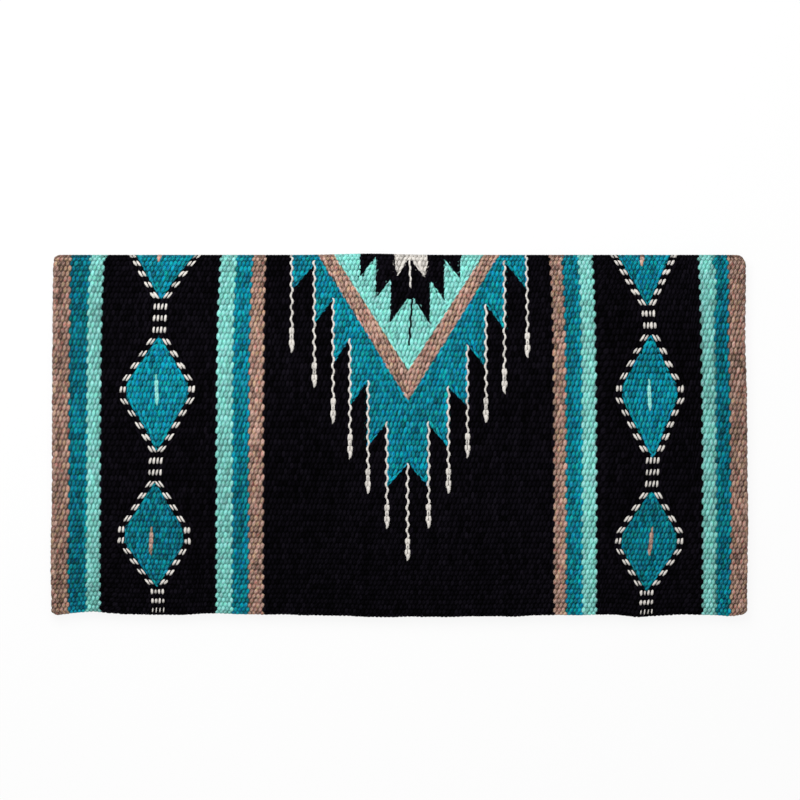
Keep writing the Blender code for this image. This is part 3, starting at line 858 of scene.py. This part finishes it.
    def beads(self, face, index):
        """Lays the white beads of a chain: side by side across each strand on every second rib, and
        slanted along the strand."""
        widths = self.ribs_of(face)[1]
        middle = sum(corner.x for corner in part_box(f"{self.side}_{AREAS[index]}")) / 2
        rows = []
        for rib in range(0, len(widths), 2):
            y = float(self.path(self.rib_places(face, rib, middle))[0])
            for left, right in self.strands(index, self.planned(middle, y)):
                count = max(1, round((right - left) / BEAD_SPACING))
                step = min((right - left) / count, BEAD_SPACING)
                for place in np.arange(count) - (count - 1) / 2:
                    x = (left + right) / 2 + place * step
                    link = count > 2
                    slope = 0 if link else self.border_slope(self.outlines[index], x, y)[0]
                    rows.append((rib, x, slope, LINK_HALF_WIDTH if link else BEAD_HALF_WIDTH))
        rib, x, slope, width = as_columns(rows)
        dice = throws(9, (3, len(rib)))
        length = widths[rib] * BEAD_REACH * (1 + UNEVEN_BEADS[0] * dice[0])
        width = width * (1 + UNEVEN_BEADS[1] * dice[1]) * np.where(rib == len(widths) - 1, LAST_BEADS, 1)
        height = np.full(len(rib), self.thickness / 2 + INLAY_RISE)
        lean = slope + (BEAD_LEAN + UNEVEN_BEADS[2] * dice[2]) * (np.abs(slope) < UPRIGHT_SLOPE)
        points = self.laid(BEAD, face, self.rib_places(face, rib, x), x, length, width, height, lean)
        return self.on_top(BEAD, points, x, dice[0], SLOTS[f"{self.side}_{AREAS[index]}"])

    def on_top(self, shape, points, x, chance, slot):
        """A batch of narrow floats that lie on the ground weave."""
        along, xs, lift = points
        # Painted highlight: floats that lie on top get a lighter tint.
        chance = chance + INLAY_PAINTED_LIGHT
        pick = np.clip(((x + self.half_length) / self.pick_width).astype(int), 0, len(self.picks) - 1)
        return self.batch(shape, self.placed(along, xs, lift), along, pick, chance, WOOLS.index(slot))

    def inlays(self, face, name):
        """Lays the narrow weft of each line of a kind: one float on each rib, to one side and to the other
        in turn, so that it winds down the cloth."""
        inlay = INLAYS[name]
        rows, points = [], []
        for x, start, end in inlay.lines:
            every = np.arange(len(self.ribs_of(face)[0]))
            depth = self.crown_y - self.path(self.rib_places(face, every, x))[0]
            there = np.nonzero((depth > start + INLAY_MARGIN) & (depth <= end))[0]
            order = there if depth[there[0]] < depth[there[-1]] else there[::-1]
            for left, rib in zip(range(len(order) - 1, -1, -1), order):
                side = inlay.swing if rib % 2 else -inlay.swing
                share = (depth[rib] - start) / (end - start)
                at = x + inlay.drift * (share - 0.5)
                if 0 < left <= len(inlay.spreads):
                    for out in (-inlay.spreads[left - 1], inlay.spreads[left - 1]):
                        bow = DOUBLED_BOW * out
                        rows.append((rib, at + out - bow, bow, DOUBLED_WIDTH * inlay.half_width))
                elif left or not inlay.spreads:
                    rows.append((rib, at, side, inlay.half_width))
                else:
                    points.append((rib, at, side / 2, POINT_HALF_WIDTH))
        batches = [self.inlay_batch(STRAND, face, rows, inlay.slot, INLAY_REACH, 0)]
        if points:
            batches.append(self.inlay_batch(POINT, face, points, inlay.slot, POINT_REACH, POINT_TAPER))
        return batches

    def inlay_batch(self, shape, face, rows, slot, reach, taper):
        """Floats of narrow weft, from rows of rib, place along x, swing to one side and half width."""
        widths = self.ribs_of(face)[1]
        rib, x, side, width = as_columns(rows)
        dice = throws(11, (3, len(rib)))
        length = widths[rib] * reach
        width = width * (1 + UNEVEN_INLAYS[0] * dice[0])
        height = np.full(len(rib), self.thickness / 2 + INLAY_RISE)
        lean = UNEVEN_INLAYS[1] * dice[1]
        bend = -side * (2 * reach) ** 2
        at = self.rib_places(face, rib, x)
        points = self.laid(shape, face, at, x + side, length, width, height, lean, bend, taper)
        return self.on_top(shape, points, x, dice[2], slot)

    def batch(self, shape, places, along, pick, chance, wools, turned=False):
        """Copies of a float shape with their places, the wool of each face and their yarn attribute: metres
        along the yarn, turns round it, and a tint with painted shade: darker deep between the floats, where
        loose fibres would keep the light out. On the off side they are mirrored."""
        dyes = np.random.default_rng(55).uniform(0, 1, len(self.picks))
        tint = 0.5 + CHANCE_TINT * chance + PICK_TINT * (dyes[pick] - 0.5)
        yarn = np.empty(places.shape)
        yarn[..., 0] = along + PICK_YARN * pick[:, None]
        yarn[..., 1] = shape.around[None, :]
        # Painted shade: the tint is darker at points that lie low, deep between the floats.
        depth = 1 - shape.points[:, 2].clip(0, 1)
        yarn[..., 2] = tint.clip(0, 1)[:, None] - DEPTH_PAINTED_SHADE * depth[None, :]
        wools = np.broadcast_to(wools, (len(places), len(shape.starts)))
        return shape, places, yarn, wools, (self.side == "off") != turned

    def hem_turns(self, chosen):
        """Lays the turns of weft round the hem, over the last warp."""
        last = len(self.outer_ribs)
        over = (np.arange(len(self.picks)) + last + self.parity) % 2 == 0
        pick = np.nonzero(over & chosen)[0]
        dice = self.chances(3, (1, len(self.picks)))[:, 0, pick]
        u, v, w = HEM_TURN.axes
        length = self.turn / 2 + HEM_LAP + UNEVEN_TURNS[0] * dice[0]
        width = self.pick_width * self.sizes.float_spread * (1 + UNEVEN_TURNS[1] * dice[1])
        lift = self.thickness / 2 * (TURN_HEIGHT + UNEVEN_TURNS[2] * dice[2])
        along = self.arc + self.flat + self.turn / 2 + u * length[:, None]
        x = self.picks[pick][:, None] + v * width[:, None]
        places = self.placed(along, x, w * lift[:, None] - self.thickness / 2)
        wools = self.ground_wools[self.areas["outer"][-1, pick[0]]] if len(pick) else 0
        return self.batch(HEM_TURN, places, along, pick, dice[3], wools)

    def end_cords(self, chosen, end):
        """Lays the weft that closes one end of the cloth: a float over each warp's turn."""
        rib = np.nonzero(chosen)[0]
        dice = self.chances(4 + end, (len(self.outer_ribs), 1))[:, rib, 0]
        u, v, w = OUTER_FLOAT.axes
        length = self.rib_widths[rib] * CORD_REACH
        along = self.rib_places("outer", rib, end * self.half_length)[:, None] + u * length[:, None]
        out = w * CORD_SIZE[0] * (1 + UNEVEN_CORDS[0] * dice[0][:, None])
        lift = v * CORD_SIZE[1] * (1 + UNEVEN_CORDS[1] * dice[1][:, None]) - self.thickness / 2
        places = self.placed(along, end * (self.half_length - CORD_INSET + out), lift)
        pick = np.full(len(rib), 0 if end < 0 else len(self.picks) - 1)
        wools = self.ground_wools[self.areas["outer"][0, pick[0]]] if len(pick) else 0
        return self.batch(OUTER_FLOAT, places, along, pick, dice[2], wools, end > 0)


def woven_mesh(name, slot, batches):
    """One mesh of all the floats in the batches, with its own wool first. Its map gives each float a cell
    of its own."""
    batches = [batch for batch in batches if len(batch[1])]
    total = sum(len(batch[1]) for batch in batches)
    columns = math.ceil(math.sqrt(total))
    points, yarns, corners, maps, starts = [], [], [], [], []
    point_count = corner_count = laid = 0
    for shape, places, yarn, _, flipped in batches:
        count = len(places)
        table = shape.mirrored if flipped else shape.corners
        points.append(places.reshape(-1, 3))
        yarns.append(yarn.reshape(-1, 3))
        shift = point_count + np.arange(count) * len(shape.points)
        corners.append((table[:, 0].astype(int)[None, :] + shift[:, None]).ravel())
        cell = laid + np.arange(count)
        column, row = cell % columns, cell // columns
        across = (column[:, None] + CELL_MARGIN + (1 - 2 * CELL_MARGIN) * table[None, :, 1]) / columns
        upward = (row[:, None] + CELL_MARGIN + (1 - 2 * CELL_MARGIN) * table[None, :, 2]) / columns
        maps.append(np.stack([across, upward], axis=-1).reshape(-1, 2))
        starts.append((shape.starts[None, :] + corner_count + np.arange(count)[:, None] * len(table)).ravel())
        point_count += count * len(shape.points)
        corner_count += count * len(table)
        laid += count
    mesh = bpy.data.meshes.new(name)
    mesh.vertices.add(point_count)
    mesh.vertices.foreach_set("co", np.concatenate(points).astype(np.float32).ravel())
    mesh.loops.add(corner_count)
    mesh.loops.foreach_set("vertex_index", np.concatenate(corners).astype(np.int32))
    starts = np.concatenate(starts).astype(np.int32)
    mesh.polygons.add(len(starts))
    mesh.polygons.foreach_set("loop_start", starts)
    mesh.update(calc_edges=True)
    mesh.shade_smooth()
    mesh.uv_layers.new(name="OFBake").data.foreach_set("uv", np.concatenate(maps).astype(np.float32).ravel())
    wools = np.concatenate([batch[3].ravel() for batch in batches])
    own = WOOLS.index(slot)
    used = [own, *sorted(set(wools.tolist()) - {own})]
    for each in used:
        mesh.materials.append(wool(WOOLS[each]))
    order = np.zeros(len(WOOLS), np.int32)
    order[used] = range(len(used))
    mesh.polygons.foreach_set("material_index", order[wools])
    yarn = mesh.attributes.new("yarn", "FLOAT_VECTOR", "POINT")
    yarn.data.foreach_set("vector", np.concatenate(yarns).astype(np.float32).ravel())
    if mesh.validate():
        raise RuntimeError(f"{name} has faces that Blender had to mend")
    return mesh


def add_piece(name, mesh, side, slot, *nodes):
    """Puts a piece in the scene, on its side of the blanket, in place of its nodes."""
    piece = bpy.data.objects.new(name, mesh)
    bpy.context.scene.collection.objects.link(piece)
    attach(piece, f"{side}_side")
    if nodes:
        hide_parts(*nodes)
    return piece


LOOMS = {}


def loom_for(side, sizes):
    """The loom of one side, set up once for each set of sizes."""
    key = (side, *(getattr(sizes, name) for name in ClothSizes.__annotations__))
    if key not in LOOMS:
        LOOMS[key] = Loom(side, sizes)
    return LOOMS[key]


def weave(areas):
    """Weaves some areas on both sides of the blanket."""
    for side in SIDES:
        loom = loom_for(side, bpy.context.scene.blanket_sizes)
        outer = loom.areas["outer"]
        for area in areas:
            index = AREAS.index(area)
            node = f"{side}_{area}"
            parts = {"": ("outer", "inner")}
            if area == "centre_field":  # its floats are too many for one piece
                parts = {"": ("outer",), "_inside": ("inner",)}
            for suffix, faces in parts.items():
                batches = [batch for face in faces for batch in loom.floats(face, index)]
                if "outer" in faces:
                    batches.append(loom.hem_turns(outer[-1] == index))
                    batches.append(loom.end_cords(outer[:, 0] == index, -1))
                    batches.append(loom.end_cords(outer[:, -1] == index, 1))
                if area.endswith("beaded_chain"):
                    batches += [loom.beads(face, index) for face in faces]
                mesh = woven_mesh(f"{node}{suffix}_weft", SLOTS[node], batches)
                add_piece(f"{node}{suffix}_weft", mesh, side, SLOTS[node], node)


def weave_inlays(*names):
    """Weaves the narrow inlays of some kinds on both sides of the blanket."""
    for side in SIDES:
        loom = loom_for(side, bpy.context.scene.blanket_sizes)
        for name in names:
            slot = INLAYS[name].slot
            batches = loom.inlays("outer", name) + loom.inlays("inner", name)
            mesh = woven_mesh(f"{side}_{name}_weft", slot, batches)
            add_piece(f"{side}_{name}_weft", mesh, side, slot)


def chosen_areas(*words):
    """The areas that have one of some words in their names."""
    return [area for area in AREAS if any(word in area for word in words)]


class SADDLE_OT_weave_stripes(bpy.types.Operator):
    """Weave the taupe, teal and aqua stripes at the ends and beside the middle"""

    bl_idname = "saddle_blanket.weave_stripes"
    bl_label = "Weave Stripes"

    def execute(self, context):
        weave(chosen_areas("_end_", "inner_aqua", "inner_teal", "inner_taupe"))
        return {"FINISHED"}


class SADDLE_OT_weave_panels(bpy.types.Operator):
    """Weave the dark panels with their beaded chains, diamonds and dashes"""

    bl_idname = "saddle_blanket.weave_panels"
    bl_label = "Weave Panels"

    def execute(self, context):
        weave(chosen_areas("_panel_", "_chain", "_diamond"))
        weave_inlays("taupe_dashes", "aqua_dashes")
        return {"FINISHED"}


class SADDLE_OT_weave_medallion(bpy.types.Operator):
    """Weave the dark middle field with the serrated medallion and its pin lines"""

    bl_idname = "saddle_blanket.weave_medallion"
    bl_label = "Weave Medallion"

    def execute(self, context):
        weave(["centre_field", "serrated_ground", "chevron_band", "aqua_ground", "feather", "white_core"])
        weave_inlays("pin_lines", "core_line", "feather_line")
        return {"FINISHED"}


class SADDLE_OT_stretch_warps(bpy.types.Operator):
    bl_idname = "saddle_blanket.stretch_warps"
    bl_label = "Stretch Warps"

    def execute(self, context):
        for side in SIDES:
            loom = loom_for(side, context.scene.blanket_sizes)
            length = loom.arc + loom.flat + CORE_PASS
            shape = bmesh.new()
            lines = self.core_lines(loom, side)
            bmesh.ops.create_grid(
                shape, x_segments=len(lines) - 1, y_segments=2 * len(loom.outer_ribs), size=0.5
            )
            every = shape.faces[:] + shape.edges[:] + shape.verts[:]
            bmesh.ops.solidify(shape, geom=every, thickness=-0.25)
            bmesh.ops.recalc_face_normals(shape, faces=shape.faces)
            shape.verts.index_update()
            points = np.array([vert.co[:] for vert in shape.verts])
            s = (points[:, 1] + 0.5) * length
            inside = (points[:, 2] - points[:, 2].min()) / np.ptp(points[:, 2]) - 0.5
            bounds = np.concatenate([[0], np.cumsum(loom.rib_widths)])
            rib = np.clip(np.searchsorted(bounds, s) - 1, 0, len(loom.rib_widths) - 1)
            share = (s - bounds[rib]) / loom.rib_widths[rib]
            thick = CORE_THICKNESS[0] + CORE_THICKNESS[1] * np.sin(np.pi * np.clip(share, 0, 1))
            x = np.interp(points[:, 0], np.linspace(-0.5, 0.5, len(lines)), lines)
            y, up = loom.bent(s, x, inside * thick - loom.thickness / 2)
            # Painted shade: the core has no yarn attribute, so each face shows its area's wool at or near its
            # darkest tone, for the shade deep between the floats.
            for face in shape.faces:
                corners = [vert.index for vert in face.verts]
                area = loom.owner(x[corners].mean(), y[corners].mean())
                face.material_index = loom.ground_wools[area]
            for vert, place in zip(shape.verts, loom.world(x, y, up)):
                vert.co = place
            bmesh.ops.recalc_face_normals(shape, faces=shape.faces)
            if shape.calc_volume(signed=True) < 0:
                bmesh.ops.reverse_faces(shape, faces=shape.faces)
            mesh = bpy.data.meshes.new(f"{side}_warps")
            for slot in WOOLS:
                mesh.materials.append(wool(slot))
            shape.to_mesh(mesh)
            shape.free()
            mesh.shade_smooth()
            piece = add_piece(f"{side}_warps", mesh, side, "black_wool")
        return {"FINISHED"}

    def core_lines(self, loom, side):
        """Where the core's grid lines lie along x: on every stripe border, and evenly between them."""
        stripes = chosen_areas("_end_", "inner_aqua", "inner_teal", "inner_taupe")
        edges = {round(corner.x, 3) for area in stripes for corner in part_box(f"{side}_{area}")}
        end = loom.half_length - CORE_INSET
        edges = [edge for edge in edges if abs(edge) < end - CORE_GAP]
        even = np.arange(-end, end, CORE_SPACING)
        return sorted([*edges, *(x for x in even if all(abs(x - edge) > CORE_GAP for edge in edges)), end])


FLOOR_DROP = 0.0004
FLOOR_ROUGHNESS = 0.95
FLOOR_GLOW = 0.90
LAMP_PLACE = (-0.35, 0.92, 1.32)
LAMP_SIZE = 1.2
# The camera looks straight down on this place from this far above the cloth, and sees this much across.
VIEW_PLACE = (0.0009, 0.0438)
VIEW_DISTANCE = 6.0
VIEW_WIDTH = 1.0008


class SADDLE_OT_set_stage(bpy.types.Operator):
    """Set the pale floor, the soft light and the camera straight above"""

    bl_idname = "saddle_blanket.set_stage"
    bl_label = "Set Stage"

    def execute(self, context):
        scene = context.scene
        levels = scene.blanket_stage
        scene.view_settings.view_transform = "Standard"
        shape = bmesh.new()
        bmesh.ops.create_grid(shape, x_segments=1, y_segments=1, size=6)
        bmesh.ops.translate(shape, verts=shape.verts, vec=(0, 0, -FLOOR_DROP))
        mesh = bpy.data.meshes.new("floor")
        shape.to_mesh(mesh)
        shape.free()
        floor = bpy.data.objects.new("floor", mesh)
        scene.collection.objects.link(floor)
        material = bpy.data.materials.new("pale floor")
        material.use_nodes = True
        tree = material.node_tree
        shader = tree.nodes["Principled BSDF"]
        shader.inputs["Base Color"].default_value = (*levels.floor, 1)
        shader.inputs["Roughness"].default_value = FLOOR_ROUGHNESS
        share = add_math(tree, "MULTIPLY", self.seen(tree), FLOOR_GLOW)
        glow = add_node(tree, "ShaderNodeEmission", {"Color": (1, 1, 1, 1), "Strength": 1})
        inputs = {0: share, 1: shader.outputs["BSDF"], 2: glow.outputs["Emission"]}
        mix = add_node(tree, "ShaderNodeMixShader", inputs)
        tree.links.new(mix.outputs["Shader"], tree.nodes["Material Output"].inputs["Surface"])
        mesh.materials.append(material)
        self.light_room(scene, levels)
        self.add_lamp(scene, "key lamp", levels.key, LAMP_PLACE, LAMP_SIZE)
        camera = bpy.data.cameras.new("camera")
        view = bpy.data.objects.new("camera", camera)
        scene.collection.objects.link(view)
        camera.sensor_width = 36
        camera.lens = camera.sensor_width * VIEW_DISTANCE / VIEW_WIDTH
        view.location = (*VIEW_PLACE, VIEW_DISTANCE + CAD_BOX[1].z)
        scene.camera = view
        return {"FINISHED"}

    def seen(self, tree):
        """1 where the camera sees a surface, directly, in a reflection or through something."""
        path = add_node(tree, "ShaderNodeLightPath")
        direct = add_math(tree, "MAXIMUM", path.outputs["Is Camera Ray"], path.outputs["Is Glossy Ray"])
        return add_math(tree, "MAXIMUM", direct, path.outputs["Is Transmission Ray"])

    def light_room(self, scene, levels):
        """Lights the scene from all round, and shows white where the camera sees past the floor."""
        world = bpy.data.worlds.new("studio")
        world.use_nodes = True
        scene.world = world
        tree = world.node_tree
        back = tree.nodes["Background"]
        strength = add_range(tree, self.seen(tree), (0, 1), (levels.room, 1))
        back.inputs["Color"].default_value = (1, 1, 1, 1)
        tree.links.new(strength, back.inputs["Strength"])

    def add_lamp(self, scene, name, power, place, size):
        """Adds a square lamp that faces the middle of the blanket."""
        lamp = bpy.data.lights.new(name, "AREA")
        lamp.energy = power
        lamp.size = size
        holder = bpy.data.objects.new(name, lamp)
        holder.location = place
        holder.rotation_euler = (-Vector(place)).to_track_quat("-Z", "Y").to_euler()
        scene.collection.objects.link(holder)


class SADDLE_PT_blanket(bpy.types.Panel):
    """Lists the steps that make the blanket"""

    bl_idname = "SADDLE_PT_blanket"
    bl_label = "Saddle Blanket"
    bl_space_type = "VIEW_3D"
    bl_region_type = "UI"
    bl_category = "Blanket"

    def draw(self, context):
        for operator in OPERATORS:
            self.layout.operator(operator.bl_idname)
        for group in GROUPS:
            settings = getattr(context.scene, group)
            for name in GROUPS[group].__annotations__:
                self.layout.prop(settings, name)


OPERATORS = (
    SADDLE_OT_weave_stripes,
    SADDLE_OT_weave_panels,
    SADDLE_OT_weave_medallion,
    SADDLE_OT_stretch_warps,
    SADDLE_OT_set_stage,
)
GROUPS = {"blanket_sizes": ClothSizes, "blanket_colours": WoolColours, "blanket_stage": StageLevels}
CLASSES = (*GROUPS.values(), *OPERATORS, SADDLE_PT_blanket)


def register():
    for each in CLASSES:
        bpy.utils.register_class(each)
    for name, group in GROUPS.items():
        setattr(bpy.types.Scene, name, PointerProperty(type=group))


def unregister():
    for name in GROUPS:
        delattr(bpy.types.Scene, name)
    for each in reversed(CLASSES):
        bpy.utils.unregister_class(each)


def main():
    register()
    bpy.ops.saddle_blanket.weave_stripes()
    bpy.ops.saddle_blanket.weave_panels()
    bpy.ops.saddle_blanket.weave_medallion()
    bpy.ops.saddle_blanket.stretch_warps()
    bpy.ops.saddle_blanket.set_stage()


if __name__ == "__main__":
    main()
